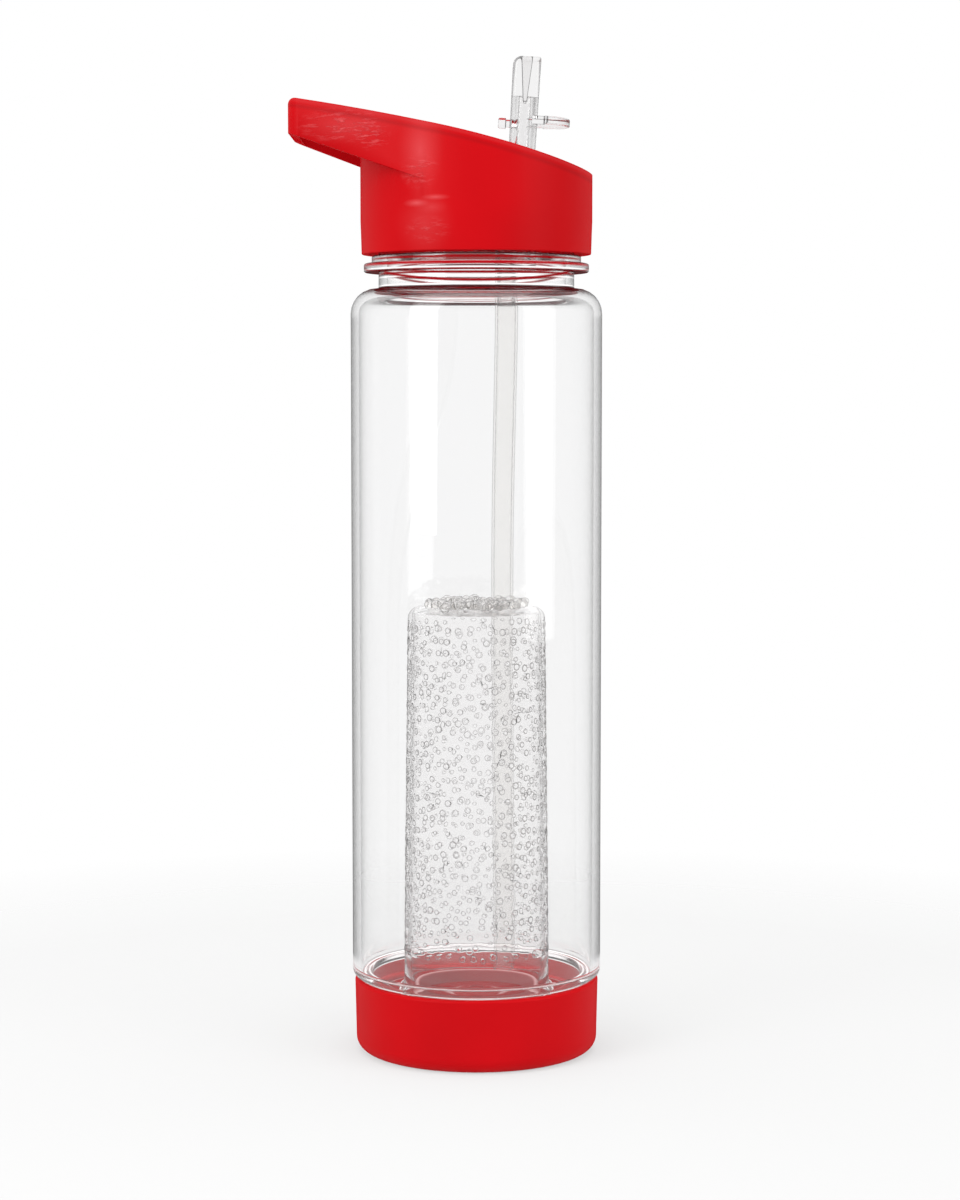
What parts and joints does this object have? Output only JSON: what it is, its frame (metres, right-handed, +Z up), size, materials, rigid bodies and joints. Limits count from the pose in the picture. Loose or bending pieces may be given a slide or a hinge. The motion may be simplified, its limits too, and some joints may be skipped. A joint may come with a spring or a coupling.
{
  "type": "fruit infuser water bottle",
  "caption": "Clear straight water bottle with a perforated infuser basket on its screw-on base, and a screw-on lid with carrying loop, fold-down spout and straw.",
  "frame": {"origin": "centre of the ring that the base rests on", "axes": "+Z up along the bottle, -X towards the carrying loop, +X towards the drinking spout's side of the lid"},
  "size_m": [0.0863, 0.07, 0.2777],
  "materials": {
    "clear_body": "clear copolyester, polished",
    "clear_infuser": "clear moulded plastic, polished",
    "clear_spout": "clear moulded plastic, polished",
    "clear_nozzle": "clear moulded plastic, polished",
    "clear_straw": "clear extruded plastic, slightly milky",
    "red_lid": "satin red, lightly scuffed",
    "red_base": "satin red",
    "red_liner": "satin red",
    "silicone": "translucent silicone, matt"
  },
  "bodies": {
    "bottle": {"bottle_body": "clear_body"},
    "lid_seal": {"lid_gasket": "silicone"},
    "lid": {"lid_shell": "red_lid", "lid_liner": "red_liner", "spout_seal": "silicone", "vent_grommet": "silicone", "straw_nozzle": "clear_nozzle", "straw": "clear_straw"},
    "spout": {"spout": "clear_spout"},
    "base_seal": {"base_gasket": "silicone"},
    "base": {"base_cup": "red_base"},
    "infuser": {"infuser_basket": "clear_infuser"}
  },
  "joints": [
    {"name": "lid_rise", "type": "slide", "parent": "bottle", "child": "lid_seal", "axis": [0, 0, 1], "range_m": [0, 0.00601]},
    {"name": "lid_turn", "type": "hinge", "parent": "lid_seal", "child": "lid", "pos_m": [0, 0, 0.2236], "axis": [0, 0, 1], "range_deg": [0, 540]},
    {"name": "base_drop", "type": "slide", "parent": "bottle", "child": "base_seal", "axis": [0, 0, -1], "range_m": [0, 0.00601]},
    {"name": "base_turn", "type": "hinge", "parent": "base_seal", "child": "base", "pos_m": [0, 0, 0.0205], "axis": [0, 0, -1], "range_deg": [0, 540]},
    {"name": "spout_flip", "type": "hinge", "parent": "lid", "child": "spout", "pos_m": [0.0123, 0, 0.2465], "axis": [0, -1, 0], "range_deg": [0, 79.3]},
    {"name": "infuser_lift", "type": "slide", "parent": "base", "child": "infuser", "axis": [0, 0, 1], "range_m": [0, 0.0025]}
  ],
  "couplings": [
    {"joint": "lid_rise", "follows": "lid_turn", "m_per_rad": 0.00063662},
    {"joint": "base_drop", "follows": "base_turn", "m_per_rad": 0.00063662}
  ]
}
